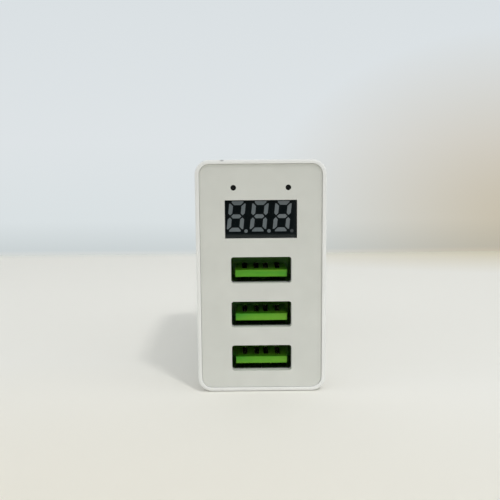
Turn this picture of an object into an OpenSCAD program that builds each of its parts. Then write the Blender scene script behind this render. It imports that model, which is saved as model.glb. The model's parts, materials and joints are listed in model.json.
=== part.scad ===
// Mains wall charger with three USB-A ports and a three-digit display.
// It stands on its narrow side: X is its width, Y its depth, Z its height.
// The ports face -Y and the mains pins point to +Y.

/* [Body] */
// Width of the case, across the ports
body_w = 27; // [25:0.5:32]
// Height of the case, along the row of ports
body_h = 48.8; // [48:0.2:52]
// Depth of the case without the plug boss
body_d = 48; // [46:1:64]
// Radius of the four long corners
corner_r = 3; // [2.6:0.1:4]
// Wall thickness of the case
wall = 1.6; // [1.4:0.1:2]
// Width of the raised rim round the front panel
rim_w = 0.85; // [0.7:0.05:1.1]
// How far the front panel lies behind the rim
panel_recess = 0.35; // [0.2:0.05:0.6]
// Thickness of the front panel
panel_t = 1.6; // [1.2:0.1:2]
// Rounding of the front edge of the rim
rim_round = 0.5; // [0.3:0.05:0.6]
// Thickness of the plug cover that closes the back
cover_t = 3; // [2.6:0.1:4]
// Rounding of the back edges
back_round = 2; // [1:0.1:2.4]

/* [Ports] */
// Width of a port's opening in the panel
port_w = 12.6; // [12.5:0.1:12.8]
// Height of a port's opening in the panel
port_h = 5.5; // [5.3:0.05:5.6]
// Corner radius of a port's opening
port_r = 0.55; // [0.3:0.05:0.8]
// Distance from one port to the next
port_pitch = 9.4; // [8.6:0.1:9.8]
// Height of the lowest port's centre
port_z0 = 7.2; // [6.6:0.1:8]
// Length of a receptacle, from the panel to its board
receptacle_d = 13; // [12:0.5:14]
// Thickness of the receptacle's sheet steel
sheet_t = 0.3; // [0.25:0.05:0.35]
// Width of the plastic tongue
tongue_w = 10.9; // [10.7:0.1:11.3]
// Thickness of the plastic tongue
tongue_t = 1.75; // [1.7:0.05:1.9]

/* [Display] */
// Width of the display window
window_w = 14.9; // [14.5:0.1:16]
// Height of the display window
window_h = 7.9; // [7.6:0.1:8.2]
// Height of the window's centre
window_z = 36.6; // [36:0.1:37.5]
// How far the display's face lies behind the panel's face
face_recess = 0.5; // [0.3:0.1:0.8]
// Height of a digit
digit_h = 6.3; // [5.8:0.1:6.4]
// Width of a digit
digit_w = 3.4; // [3.3:0.05:3.6]
// Distance from one digit to the next
digit_pitch = 4.75; // [4.6:0.05:4.8]
// Width of a segment's bar
bar_t = 0.82; // [0.7:0.02:0.9]
// Lean of the digits, in degrees
lean = 6; // [0:1:8]

/* [Indicators] */
// Diameter of the two indicator holes
indicator_d = 1.15; // [1:0.05:1.4]
// Distance between the indicator holes
indicator_gap = 11.3; // [10:0.1:13]
// Height of the indicator holes
indicator_z = 43.1; // [42.8:0.1:44]

/* [Plug] */
// Length of the plug boss
boss_d = 16; // [14:0.5:18]
// Width of the plug boss
boss_w = 13.7; // [13.2:0.1:14.2]
// Height of the plug boss
boss_h = 35.3; // [34:0.1:36]
// Distance between the pins
pin_pitch = 19; // [18.6:0.1:19.2]
// Diameter of the bare metal of a pin
pin_d = 4; // [4:0.1:4.8]
// Length of a pin beyond the boss
pin_l = 19; // [18:0.5:19.5]
// Length of a pin's insulated part beyond the boss
sleeve_l = 10; // [8:0.5:10]
// Diameter of the insulating sleeve
sleeve_d = 3.6; // [3.4:0.1:3.6]

/* [Hidden] */
$fn = 48;

// Shapes that are cut away run 1 mm past the faces they open

// Places along Y
total_d = body_d + boss_d + pin_l;
front_y = -total_d / 2;
panel_y = front_y + panel_recess;
panel_back_y = panel_y + panel_t;
body_back_y = front_y + body_d;
seam_y = body_back_y - cover_t;
boss_back_y = body_back_y + boss_d;
board_t = 1.2;
front_board_y = panel_back_y + receptacle_d;
power_board_y = front_board_y + board_t;
power_board_inset = 3.7;
power_board_end_y = seam_y - power_board_inset;
mid_z = body_h / 2;

// Inside of the case
cavity_w = body_w - 2 * wall;
cavity_h = body_h - 2 * wall;
cavity_r = corner_r - wall;
opening_w = body_w - 2 * rim_w;
opening_h = body_h - 2 * rim_w;
opening_r = corner_r - rim_w;
panel_gap = 0.04;

// Boards: the front board faces the panel, the power board stands beside the left wall
board_gap = 0.3;
board_h = cavity_h - 2 * board_gap;
power_board_x = -9.3;
power_face_x = power_board_x + board_t;
lead_end_x = power_board_x - 1;
rail_t = 1;
rail_h = 1.5;
rail_slack = 0.1;

// Receptacles
shell_in_w = 12.5;
shell_in_h = 5.2;
tongue_y = panel_y + 1.9;
tongue_top = 0.02;
block_d = 4.5;
contact_x = [-3.5, -1, 1, 3.5];
contact_w = 1;
contact_t = 0.25;
groove_y = 1;
contact_tail = 1;
finger_w = 1.8;
finger_l = 5;
finger_y = 2.2;
finger_x = 3.2;
finger_dip = 0.35;
finger_slot = 0.3;
seam_w = 0.1;
tab_w = 1.6;
tab_x = 4.6;

// Display
face_y = panel_y + face_recess;
display_gap = 0.1;
display_w = window_w - 2 * display_gap;
display_h = window_h - 2 * display_gap;
display_d = 6;
pocket_d = 0.5;
bar_gap = 0.32;
bar_tip = 0.28;
digit_margin = 0.1;
digit_x0 = -0.35;
digit_z0 = (display_h - digit_h) / 2 - digit_margin;
dot_r = 0.37;
dot_x = 2;
dot_z = 0.1;
display_pin_x = [-5.08, -2.54, 0, 2.54, 5.08];
display_pin_z = [-2.6, 2.6];
display_pin_t = 0.45;

// Indicators
led_r = 0.9;
led_y = panel_y + 0.45;
led_gap = 0.05;
led_l = 3.6;
led_rim_r = 1.3;
led_rim_t = 0.6;
led_lead_x = 0.5;
led_lead_r = 0.22;

// Plug
bore_wall = 1.2;
collar_r = 2.5;
neck_r = 1.35;
collar_y = boss_back_y - 8;
sleeve_y = boss_back_y - 2;
boss_wall = 1.7;
boss_floor = 3;
boss_round = 1;
retainer_t = 1.5;
tail_l = 3.5;
tail_y = collar_y - retainer_t - tail_l;
tail_r = 1;
lead_r = 0.8;
lead_bend = 2.5;
lead_inset = 1.8;
lead_y = power_board_end_y - lead_inset;
pin_z = [mid_z + pin_pitch / 2, mid_z - pin_pitch / 2];

// Power parts as [y, z] on the power board
transformer_at = [-13.5, 24.9];
core_lift = 1.5;
core_z = 16;
core_x = 14;
core_y = 5;
core_leg = 2.2;
core_mid = 4.6;
spool_r = 3.9;
spool_gap = 0.1;
spool_z = core_lift + core_leg + spool_gap;
spool_l = core_x - 2 * (core_leg + spool_gap);
cheek_z = 11;
cheek_y = 11.2;
cheek_t = 0.9;
foot_y = 3;
winding_r = 5;
transformer_pins = [4.1, 2.54];
input_cap_at = [[-20.1, 41], [-11.5, 41]];
output_cap_at = [[-20.1, 7.6], [-11.5, 7.6]];
cap_r = 4;
input_cap_l = 15;
output_cap_l = 12;
cap_lead = 1.75;
bridge_at = [-4.3, 40.6];
bridge_pins = [1.9, 2.5];
resistor_at = [-5.5, 29.8];
resistor_r = 1.3;
resistor_l = 5.4;
controller_at = [-4.6, 21.2];
chip_pins = [2.7, 2.54];
opto_at = [-21, 14.6];
diode_at = [-21.6, 32.2];
diode_r = 2.2;
diode_l = 7.6;
axial_inset = 0.55;
choke_at = [-4.2, 7.2];
choke_r = 3;
choke_neck = 1.4;
choke_cheek = 1.2;
choke_l = 7.2;
choke_wound_r = 2.7;
choke_lead = 2;
disc_at = [-8.6, 13.3];
disc_r = 3.3;
disc_t = 2.4;
disc_lead = 1;
header_z0 = 18.2;
header_pitch = 2.54;
header_n = 4;
header_w = 2.2;
header_pin = 0.64;
driver_at = [8.7, 28];
resistors_at = [8.5, 6];
leg_r = 0.3;

// Flat shapes

module quarter_disc(r) {
    intersection() {
        circle(r);
        square(r);
    }
}

module rounded_rect(w, h, r) {
    square([w - 2 * r, h], center = true);
    square([w, h - 2 * r], center = true);
    for (sx = [0, 1], sy = [0, 1])
        mirror([sx, 0]) mirror([0, sy]) translate([w / 2 - r, h / 2 - r]) quarter_disc(r);
}

// A bar with round ends, standing upright
module stadium(w, h) {
    square([w, h - w], center = true);
    for (s = [0, 1])
        mirror([0, s]) translate([0, (h - w) / 2]) intersection() {
            circle(w / 2);
            translate([-w / 2, 0]) square([w, w / 2]);
        }
}

// Solids

// Extrudes a front view (X, Z) along Y, from y to y + d
module along_y(y, d) {
    translate([0, y + d, 0]) rotate([90, 0, 0]) linear_extrude(d) children();
}

// The same, centred on the middle of the case
module body_slab(y, d) {
    translate([0, 0, mid_z]) along_y(y, d) children();
}

// Extrudes a side view (Y, Z) along X, centred on x = 0
module across_x(w) {
    rotate([90, 0, 90]) linear_extrude(w, center = true) children();
}

// A round bar along Y
module rod_y(r, y, d) {
    translate([0, y, 0]) rotate([-90, 0, 0]) cylinder(r = r, h = d);
}

// A round bar along X
module rod_x(r, x, d) {
    translate([x, 0, 0]) rotate([0, 90, 0]) cylinder(r = r, h = d);
}

// A slab of thickness e whose top edge is rounded all round: full size at z = 0
module rounded_cap(w, h, r, e) {
    linear_extrude(e) square([w - 2 * r, h - 2 * e], center = true);
    linear_extrude(e) square([w - 2 * e, h - 2 * r], center = true);
    for (s = [0, 1]) {
        mirror([s, 0, 0]) translate([w / 2 - e, 0, 0]) rotate([90, 0, 0])
            linear_extrude(h - 2 * r, center = true) quarter_disc(e);
        mirror([0, s, 0]) translate([0, h / 2 - e, 0]) rotate([90, 0, 90])
            linear_extrude(w - 2 * r, center = true) quarter_disc(e);
    }
    for (sx = [0, 1], sy = [0, 1])
        mirror([sx, 0, 0]) mirror([0, sy, 0]) translate([w / 2 - r, h / 2 - r, 0])
            rotate_extrude(angle = 90) rounded_edge(r, e);
}

// Half section of a disc of radius r and thickness e with a rounded top edge
module rounded_edge(r, e) {
    square([r - e, e]);
    translate([r - e, 0]) quarter_disc(e);
}

// The round-ended boss: a straight part and a cap with a rounded edge, along +Z
module boss_block(w, h, d, e) {
    linear_extrude(d - e) stadium(w, h);
    translate([0, 0, d - e]) {
        linear_extrude(e) square([w - 2 * e, h - w], center = true);
        for (s = [0, 1]) {
            mirror([s, 0, 0]) translate([w / 2 - e, 0, 0]) rotate([90, 0, 0])
                linear_extrude(h - w, center = true) quarter_disc(e);
            mirror([0, s, 0]) translate([0, (h - w) / 2, 0])
                rotate_extrude(angle = 180) rounded_edge(w / 2, e);
        }
    }
}

// Height of a port's centre, with port 1 at the top
function port_z(i) = port_z0 + (3 - i) * port_pitch;

// Case: a tube with a raised rim, a ledge behind the panel and rails for the power board

module case_outside() {
    body_slab(front_y + rim_round, seam_y - front_y - rim_round) rounded_rect(body_w, body_h, corner_r);
    translate([0, front_y + rim_round, mid_z]) rotate([90, 0, 0])
        rounded_cap(body_w, body_h, corner_r, rim_round);
}

// Pairs of ribs on the floor and roof that hold the power board's edges
module board_rails() {
    rail_y = power_board_y;
    rail_d = power_board_end_y - power_board_y;
    for (z = [wall, body_h - wall - rail_h])
        for (x = [power_board_x - rail_slack - rail_t, power_face_x + rail_slack])
            translate([x, rail_y, z]) cube([rail_t, rail_d, rail_h]);
}

module case() {
    seam_line = 0.25;
    color([0.93, 0.93, 0.92]) {
        difference() {
            case_outside();
            body_slab(front_y - 1, panel_back_y - front_y + 1) rounded_rect(opening_w, opening_h, opening_r);
            body_slab(panel_back_y - 1, body_d) rounded_rect(cavity_w, cavity_h, cavity_r);
            body_slab(seam_y - seam_line, 1) difference() {
                square([body_w + 2, body_h + 2], center = true);
                rounded_rect(body_w - 2 * seam_line, body_h - 2 * seam_line, corner_r - seam_line);
            }
        }
        board_rails();
    }
}

// Front panel, with a step behind each indicator hole that takes the tip of its LED

module front_panel() {
    color([0.78, 0.79, 0.76]) difference() {
        body_slab(panel_y, panel_t)
            rounded_rect(opening_w - 2 * panel_gap, opening_h - 2 * panel_gap, opening_r - panel_gap);
        translate([0, 0, window_z]) along_y(panel_y - 1, panel_t + 2)
            square([window_w, window_h], center = true);
        for (i = [1:3])
            translate([0, 0, port_z(i)]) along_y(panel_y - 1, panel_t + 2)
                rounded_rect(port_w, port_h, port_r);
        for (s = [-1, 1])
            translate([s * indicator_gap / 2, 0, indicator_z]) {
                rod_y(indicator_d / 2, panel_y - 1, panel_t + 2);
                rod_y(led_r + led_gap, led_y - led_gap, panel_t);
            }
    }
}

// Plug cover: back plate, lip that fits inside the case, hollow boss and pin bores

module plug_cover() {
    lip_gap = 0.1;
    lip_t = 1.2;
    lip_d = 3;
    lip_w = cavity_w - 2 * lip_gap;
    lip_h = cavity_h - 2 * lip_gap;
    color([0.93, 0.93, 0.92]) difference() {
        union() {
            body_slab(seam_y, cover_t - back_round) rounded_rect(body_w, body_h, corner_r);
            translate([0, body_back_y - back_round, mid_z]) rotate([-90, 0, 0])
                rounded_cap(body_w, body_h, corner_r, back_round);
            body_slab(seam_y - lip_d, lip_d) rounded_rect(lip_w, lip_h, cavity_r - lip_gap);
            translate([0, body_back_y, mid_z]) rotate([-90, 0, 0])
                boss_block(boss_w, boss_h, boss_d, boss_round);
        }
        body_slab(seam_y - lip_d - 1, lip_d + 1)
            rounded_rect(lip_w - 2 * lip_t, lip_h - 2 * lip_t, cavity_r / 2);
        difference() {
            body_slab(seam_y - 1, boss_back_y - boss_floor - seam_y + 1)
                stadium(boss_w - 2 * boss_wall, boss_h - 2 * boss_wall);
            for (z = pin_z)
                translate([0, 0, z]) rod_y(collar_r + bore_wall, collar_y, boss_d);
        }
        for (z = pin_z)
            translate([0, 0, z]) {
                rod_y(collar_r, collar_y - 1, sleeve_y - collar_y + 1);
                rod_y(sleeve_d / 2, sleeve_y - 1, boss_back_y - sleeve_y + 2);
            }
    }
}

// Plate behind the pins' collars, which keeps them in the boss

module pin_retainer() {
    slack = 0.1;
    color([0.9, 0.9, 0.88]) difference() {
        body_slab(collar_y - retainer_t, retainer_t)
            stadium(boss_w - 2 * boss_wall - 2 * slack, boss_h - 2 * boss_wall - 2 * slack);
        for (z = pin_z)
            translate([0, 0, z]) rod_y(neck_r, collar_y - retainer_t - 1, retainer_t + 2);
    }
}

// Mains pins: solder tail, shank, collar, neck under the sleeve, and bare tip with a round end

module mains_pin(z) {
    bare_y = boss_back_y + sleeve_l;
    tip_y = boss_back_y + pin_l;
    r = pin_d / 2;
    round_y = tip_y - r;
    profile = [
        [0, tail_y], [tail_r, tail_y], [tail_r, collar_y - retainer_t], [neck_r, collar_y - retainer_t],
        [neck_r, collar_y], [collar_r, collar_y], [collar_r, sleeve_y], [neck_r, sleeve_y],
        [neck_r, bare_y], [r, bare_y], [r, round_y], [0, round_y]
    ];
    color([0.82, 0.82, 0.83]) translate([0, 0, z]) rotate([-90, 0, 0]) rotate_extrude() {
        polygon(profile);
        translate([0, round_y]) quarter_disc(r);
    }
}

module live_pin() mains_pin(pin_z[0]);
module neutral_pin() mains_pin(pin_z[1]);

// Insulating sleeve round a pin's neck, from inside the boss to the bare tip
module pin_sleeve(z) {
    sleeve_end = boss_back_y + sleeve_l;
    color([0.16, 0.16, 0.17]) translate([0, 0, z]) difference() {
        rod_y(sleeve_d / 2, sleeve_y, sleeve_end - sleeve_y);
        rod_y(neck_r, sleeve_y - 1, sleeve_end - sleeve_y + 2);
    }
}

module live_pin_sleeve() pin_sleeve(pin_z[0]);
module neutral_pin_sleeve() pin_sleeve(pin_z[1]);

// Leads from the pins' tails to the power board: straight, one bend, straight
module mains_lead(z, tint) {
    bend_y = lead_y + lead_bend;
    color(tint) translate([0, 0, z]) {
        rod_y(lead_r, bend_y, tail_y - bend_y);
        translate([-lead_bend, bend_y, 0]) rotate([0, 0, -90])
            rotate_extrude(angle = 90) translate([lead_bend, 0]) circle(lead_r);
        translate([0, lead_y, 0]) rod_x(lead_r, power_face_x, -lead_bend - power_face_x);
    }
}

module live_lead() mains_lead(pin_z[0], [0.45, 0.25, 0.12]);
module neutral_lead() mains_lead(pin_z[1], [0.15, 0.3, 0.7]);

// Display: a housing with pockets, and light segments that fill them

// Seven bars, sheared so that the digit leans. The outer bars are mitred at the corners,
// and every bar keeps half of the dark gap to its neighbour
module digit() {
    t = bar_t;
    cut = bar_gap * sqrt(0.5);
    w = digit_w / 2 - cut;
    h = digit_h / 2 - cut;
    tip = bar_tip;
    top_bar = [
        [tip - w, h + cut], [w - tip, h + cut], [w - tip, h + cut - tip], [w - t, h + cut - t],
        [t - w, h + cut - t], [tip - w, h + cut - tip]
    ];
    side_bar = [
        [w + cut, cut + t / 2], [w + cut, h - tip], [w + cut - tip, h - tip],
        [w + cut - t, h - t], [w + cut - t, cut + t / 2], [w + cut - t / 2, cut]
    ];
    middle = w - t / 2;
    multmatrix([[1, tan(lean), 0, 0], [0, 1, 0, 0], [0, 0, 1, 0], [0, 0, 0, 1]]) {
        polygon([
            [-middle, 0], [t / 2 - middle, t / 2], [middle - t / 2, t / 2],
            [middle, 0], [middle - t / 2, -t / 2], [t / 2 - middle, -t / 2]
        ]);
        for (v = [0, 1]) {
            mirror([0, v]) polygon(top_bar);
            for (u = [0, 1])
                mirror([u, 0]) mirror([0, v]) polygon(side_bar);
        }
    }
}

// Front view of all lit shapes: three digits, each with its dot
module segments_outline() {
    for (i = [-1, 0, 1])
        translate([digit_x0 + i * digit_pitch, digit_z0]) {
            digit();
            translate([dot_x, dot_z - digit_h / 2]) circle(dot_r);
        }
}

module display_housing() {
    flange_over = 0.8;
    flange_t = 1;
    color([0.06, 0.07, 0.08]) difference() {
        translate([0, 0, window_z]) {
            along_y(face_y, display_d) square([display_w, display_h], center = true);
            along_y(panel_back_y, flange_t)
                square([window_w + 2 * flange_over, window_h + 2 * flange_over], center = true);
        }
        translate([0, 0, window_z]) along_y(face_y - 1, pocket_d + 1) segments_outline();
    }
}

module display_segments() {
    color([0.44, 0.46, 0.48]) translate([0, 0, window_z]) along_y(face_y, pocket_d) segments_outline();
}

module display_pins() {
    pins_y = face_y + display_d;
    color([0.8, 0.8, 0.78])
        for (x = display_pin_x, z = display_pin_z)
            translate([x, 0, window_z + z]) along_y(pins_y, power_board_y + 1 - pins_y)
                square(display_pin_t, center = true);
}

// Indicators: a small LED whose domed tip sits in the panel, with a rim that rests on the panel's back

module indicator(side) {
    rim_z = panel_back_y - led_y;
    profile = [
        [0, led_l], [led_r, led_l], [led_r, rim_z + led_rim_t], [led_rim_r, rim_z + led_rim_t],
        [led_rim_r, rim_z], [led_r, rim_z], [led_r, led_r], [0, led_r]
    ];
    color([0.7, 0.72, 0.72]) translate([side * indicator_gap / 2, led_y, indicator_z])
        rotate([-90, 0, 0]) rotate_extrude() {
            polygon(profile);
            translate([0, led_r]) mirror([0, 1]) quarter_disc(led_r);
        }
}

module indicator_left() indicator(-1);
module indicator_right() indicator(1);

module indicator_leads() {
    back_y = led_y + led_l;
    color([0.8, 0.8, 0.78])
        for (side = [-1, 1], s = [-1, 1])
            translate([side * indicator_gap / 2 + s * led_lead_x, 0, indicator_z])
                rod_y(led_lead_r, back_y, power_board_y + 1 - back_y);
}

// USB-A receptacles

// A spring finger cut from the shell's wall and bent inwards, as a side view (Y, Z):
// it dips to its knee and turns out a little at its tip
module finger_profile() {
    knee_y = 0.7 * finger_l;
    root_z = shell_in_h / 2;
    knee_z = root_z - finger_dip;
    tip_z = root_z - 0.4 * finger_dip;
    under = [[0, root_z], [knee_y, knee_z], [finger_l, tip_z]];
    polygon(concat(under, [for (k = [2:-1:0]) under[k] + [0, sheet_t]]));
}

// Steel shell: sheet folded round to a seam underneath, with four spring fingers and two
// tabs through the front board
module usb_shell(i) {
    out_w = shell_in_w + 2 * sheet_t;
    out_h = shell_in_h + 2 * sheet_t;
    slot_w = finger_w + 2 * finger_slot;
    color([0.7, 0.7, 0.72]) translate([0, panel_back_y, port_z(i)]) {
        difference() {
            along_y(0, receptacle_d) rounded_rect(out_w, out_h, port_r + sheet_t);
            along_y(-1, receptacle_d + 2) rounded_rect(shell_in_w, shell_in_h, port_r);
            for (x = [-finger_x, finger_x])
                translate([x - slot_w / 2, finger_y, -out_h])
                    cube([slot_w, finger_l + finger_slot, 2 * out_h]);
            translate([-seam_w / 2, -1, -out_h]) cube([seam_w, receptacle_d + 2, out_h]);
        }
        for (x = [-finger_x, finger_x], s = [0, 1])
            mirror([0, 0, s]) translate([x, finger_y, 0]) across_x(finger_w) finger_profile();
        for (x = [-tab_x, tab_x])
            translate([x - tab_w / 2, receptacle_d, shell_in_h / 2])
                cube([tab_w, board_t + contact_tail, sheet_t]);
    }
}

module usb_shell_1() usb_shell(1);
module usb_shell_2() usb_shell(2);
module usb_shell_3() usb_shell(3);

// The plastic insert: a block that fills the back of the shell, and the tongue with its grooves
module usb_tongue(i) {
    block_y = front_board_y - block_d;
    ramp = [0.9, 0.4];
    foot = 0.2;
    side = [
        [tongue_y, tongue_top - ramp[1]], [tongue_y + ramp[0], tongue_top], [block_y, tongue_top],
        [block_y, tongue_top - tongue_t], [tongue_y + foot, tongue_top - tongue_t],
        [tongue_y, tongue_top - tongue_t + foot]
    ];
    color([0.33, 0.58, 0.2]) translate([0, 0, port_z(i)]) difference() {
        union() {
            across_x(tongue_w) polygon(side);
            along_y(block_y, block_d) rounded_rect(shell_in_w, shell_in_h, port_r);
        }
        for (x = contact_x)
            translate([x - contact_w / 2, tongue_y + groove_y, tongue_top - contact_t])
                cube([contact_w, receptacle_d, contact_t]);
    }
}

module usb_tongue_1() usb_tongue(1);
module usb_tongue_2() usb_tongue(2);
module usb_tongue_3() usb_tongue(3);

// Four leaf contacts: the tip lies in the groove, the leaf arches up and runs back through the block
module usb_contacts(i) {
    low = tongue_top - contact_t;
    high = 0.5;
    tip = tongue_y + groove_y;
    rise = tip + 0.8;
    crown = rise + 2;
    crown_l = 1;
    fall = crown + crown_l + 2.4;
    end = power_board_y + contact_tail;
    spine = [[tip, low], [rise, low], [crown, high], [crown + crown_l, high], [fall, low], [end, low]];
    leaf = concat(spine, [for (k = [len(spine) - 1:-1:0]) spine[k] + [0, contact_t]]);
    color([0.85, 0.75, 0.45]) translate([0, 0, port_z(i)])
        for (x = contact_x)
            translate([x, 0, 0]) across_x(contact_w) polygon(leaf);
}

module usb_contacts_1() usb_contacts(1);
module usb_contacts_2() usb_contacts(2);
module usb_contacts_3() usb_contacts(3);

// Boards

// Board that carries the receptacles, the display and the indicators
module front_board() {
    hole = 0.15;
    color([0.1, 0.35, 0.2]) difference() {
        body_slab(front_board_y, board_t) rounded_rect(cavity_w - 2 * board_gap, board_h, 1);
        for (i = [1:3])
            translate([0, 0, port_z(i)]) along_y(front_board_y - 1, board_t + 2) {
                for (x = contact_x)
                    translate([x, tongue_top - contact_t / 2])
                        square([contact_w + 2 * hole, contact_t + 2 * hole], center = true);
                for (x = [-tab_x, tab_x])
                    translate([x, (shell_in_h + sheet_t) / 2])
                        square([tab_w + 2 * hole, sheet_t + 2 * hole], center = true);
            }
        translate([0, 0, window_z]) along_y(front_board_y - 1, board_t + 2)
            for (x = display_pin_x, z = display_pin_z)
                translate([x, z]) square(display_pin_t + 2 * hole, center = true);
        for (side = [-1, 1], s = [-1, 1])
            translate([side * indicator_gap / 2 + s * led_lead_x, 0, indicator_z])
                rod_y(led_lead_r + hole, front_board_y - 1, board_t + 2);
        header_pin_solids();
    }
}

// Board that carries the mains and output parts
module power_board() {
    color([0.75, 0.65, 0.4]) difference() {
        translate([power_board_x, power_board_y, wall + board_gap])
            cube([board_t, power_board_end_y - power_board_y, board_h]);
        lead_solids();
        header_pin_solids();
    }
}

// Driver chip on the board's back: a flat body on two rows of gull-wing legs, upright
module display_driver() {
    body = [3.9, 1.5, 10];
    lift = 0.1;
    leg_t = 0.2;
    leg_w = 0.4;
    leg_z = 0.9;
    leg_n = 8;
    leg_pitch = 1.27;
    slope = 0.15;
    half = body[0] / 2;
    heel = half + 0.3;
    toe = half + 0.9;
    leg = [
        [half, leg_z], [heel, leg_z], [heel + slope, leg_t], [toe, leg_t],
        [toe, 0], [heel, 0], [heel - slope, leg_z - leg_t], [half, leg_z - leg_t]
    ];
    color([0.1, 0.1, 0.11]) translate([driver_at[0], power_board_y, driver_at[1]]) {
        translate([-half, lift, -body[2] / 2]) cube(body);
        for (k = [0:leg_n - 1], s = [0, 1])
            mirror([s, 0, 0]) translate([0, 0, (k - (leg_n - 1) / 2) * leg_pitch])
                linear_extrude(leg_w, center = true) polygon(leg);
    }
}

// Row of chip resistors beside the driver
module chip_resistors() {
    size = [1.6, 0.55, 0.8];
    pitch = 2.4;
    count = 6;
    color([0.15, 0.15, 0.16])
        for (k = [0:count - 1])
            translate([resistors_at[0] - size[0] / 2, power_board_y, resistors_at[1] + k * pitch])
                cube(size);
}

// L-shaped posts that join the two boards
module header_pin_solids() {
    h = header_pin;
    bend_y = power_board_y + header_w / 2;
    bend_x = power_face_x + header_w / 2;
    for (k = [0:header_n - 1])
        translate([0, 0, header_z0 + (k + 0.5) * header_pitch - h / 2]) {
            translate([bend_x - h / 2, front_board_y - 1, 0])
                cube([h, bend_y + h / 2 - front_board_y + 1, h]);
            translate([lead_end_x, bend_y - h / 2, 0]) cube([bend_x + h / 2 - lead_end_x, h, h]);
        }
}

module header_pins() {
    color([0.85, 0.75, 0.45]) header_pin_solids();
}

module board_header() {
    color([0.12, 0.12, 0.13]) difference() {
        translate([power_face_x, power_board_y, header_z0])
            cube([header_w, header_w, header_n * header_pitch]);
        header_pin_solids();
    }
}

// Power parts, which stand on the power board along +X

// Puts children at a place on the power board's face, with their Z turned to +X
module on_board(at) {
    translate([power_face_x, at[0], at[1]]) rotate([0, 90, 0]) children();
}

// Frame of two E-shaped halves round the winding
module transformer_core() {
    window = (core_z - 2 * core_leg - core_mid) / 2;
    color([0.2, 0.2, 0.21]) on_board(transformer_at) translate([0, 0, core_lift])
        for (s = [0, 1])
            translate([0, 0, core_x / 2]) mirror([0, 0, s]) difference() {
                translate([-core_z / 2, -core_y / 2, 0]) cube([core_z, core_y, core_x / 2]);
                for (side = [-1, 1])
                    translate([side * (core_mid + window) / 2 - window / 2, -core_y / 2 - 1, -1])
                        cube([window, core_y + 2, core_x / 2 - core_leg + 1]);
            }
}

// Spool with a square bore for the core's middle leg, two cheeks and a foot with the pin rows
module transformer_bobbin() {
    color([0.12, 0.12, 0.12]) on_board(transformer_at) difference() {
        union() {
            translate([0, 0, spool_z]) cylinder(r = spool_r, h = spool_l);
            for (z = [spool_z, spool_z + spool_l - cheek_t])
                translate([-cheek_z / 2, -cheek_y / 2, z]) cube([cheek_z, cheek_y, cheek_t]);
            for (s = [0, 1])
                mirror([0, s, 0]) translate([-cheek_z / 2, cheek_y / 2 - foot_y, 0])
                    cube([cheek_z, foot_y, spool_z + cheek_t]);
        }
        translate([-core_mid / 2, -core_y / 2, spool_z - 1])
            cube([core_mid, core_y, spool_l + 2]);
    }
}

// Taped winding round the spool
module transformer_winding() {
    wound_l = spool_l - 2 * cheek_t;
    color([0.9, 0.75, 0.2]) on_board(transformer_at) translate([0, 0, spool_z + cheek_t]) difference() {
        cylinder(r = winding_r, h = wound_l);
        translate([0, 0, -1]) cylinder(r = spool_r, h = wound_l + 2);
    }
}

// A can capacitor: sleeve with a pinched neck near the board and a flat top
module can_capacitor(at, l, tint) {
    foot_edge = 0.4;
    neck_z = 1.7;
    neck_half = 0.5;
    neck = 0.35;
    top_edge = 0.3;
    lid_r = cap_r - 0.8;
    lid_z = l - 0.15;
    profile = [
        [0, 0], [cap_r - foot_edge, 0], [cap_r, foot_edge],
        [cap_r, neck_z - neck_half], [cap_r - neck, neck_z], [cap_r, neck_z + neck_half],
        [cap_r, l - top_edge], [cap_r - top_edge, l], [lid_r, l], [lid_r, lid_z], [0, lid_z]
    ];
    color(tint) on_board(at) rotate_extrude() polygon(profile);
}

module input_capacitor_1() can_capacitor(input_cap_at[0], input_cap_l, [0.1, 0.1, 0.12]);
module input_capacitor_2() can_capacitor(input_cap_at[1], input_cap_l, [0.1, 0.1, 0.12]);
module output_capacitor_1() can_capacitor(output_cap_at[0], output_cap_l, [0.1, 0.25, 0.2]);
module output_capacitor_2() can_capacitor(output_cap_at[1], output_cap_l, [0.1, 0.25, 0.2]);

// Block-shaped chips, as [size along Z, size along Y, height]
module chip_block(at, size) {
    notch_r = 0.6;
    notch_d = 0.3;
    color([0.1, 0.1, 0.11]) on_board(at) difference() {
        translate([-size[0] / 2, -size[1] / 2, 0]) cube(size);
        translate([size[0] / 2, 0, size[2] - notch_d]) cylinder(r = notch_r, h = 1);
    }
}

module bridge_rectifier() chip_block(bridge_at, [6.2, 4.8, 2.6]);
module controller_chip() chip_block(controller_at, [9.2, 6.2, 3.3]);
module optocoupler() chip_block(opto_at, [4.6, 6.2, 3.4]);

// Axial parts, which lie along Z on the board
module axial_part(at, r, l, tint) {
    color(tint) translate([power_face_x + r, at[0], at[1] - l / 2]) cylinder(r = r, h = l);
}

module fusible_resistor() axial_part(resistor_at, resistor_r, resistor_l, [0.75, 0.7, 0.55]);
module output_diode() axial_part(diode_at, diode_r, diode_l, [0.1, 0.1, 0.11]);

// Drum choke: a core with two cheeks, and the wire between them
module choke_core() {
    color([0.25, 0.25, 0.26]) on_board(choke_at) {
        cylinder(r = choke_neck, h = choke_l);
        for (z = [0, choke_l - choke_cheek])
            translate([0, 0, z]) cylinder(r = choke_r, h = choke_cheek);
    }
}

module choke_winding() {
    wound_l = choke_l - 2 * choke_cheek;
    color([0.7, 0.4, 0.2]) on_board(choke_at) translate([0, 0, choke_cheek]) difference() {
        cylinder(r = choke_wound_r, h = wound_l);
        translate([0, 0, -1]) cylinder(r = choke_neck, h = wound_l + 2);
    }
}

// Disc capacitor across the barrier: a flat coated disc on edge
module safety_capacitor() {
    r = disc_r;
    t = disc_t;
    e = t / 4;
    color([0.15, 0.35, 0.7]) translate([power_face_x + r, disc_at[0], disc_at[1] - t / 2])
        rotate_extrude() polygon([[0, 0], [r - e, 0], [r, e], [r, t - e], [r - e, t], [0, t]]);
}

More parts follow.
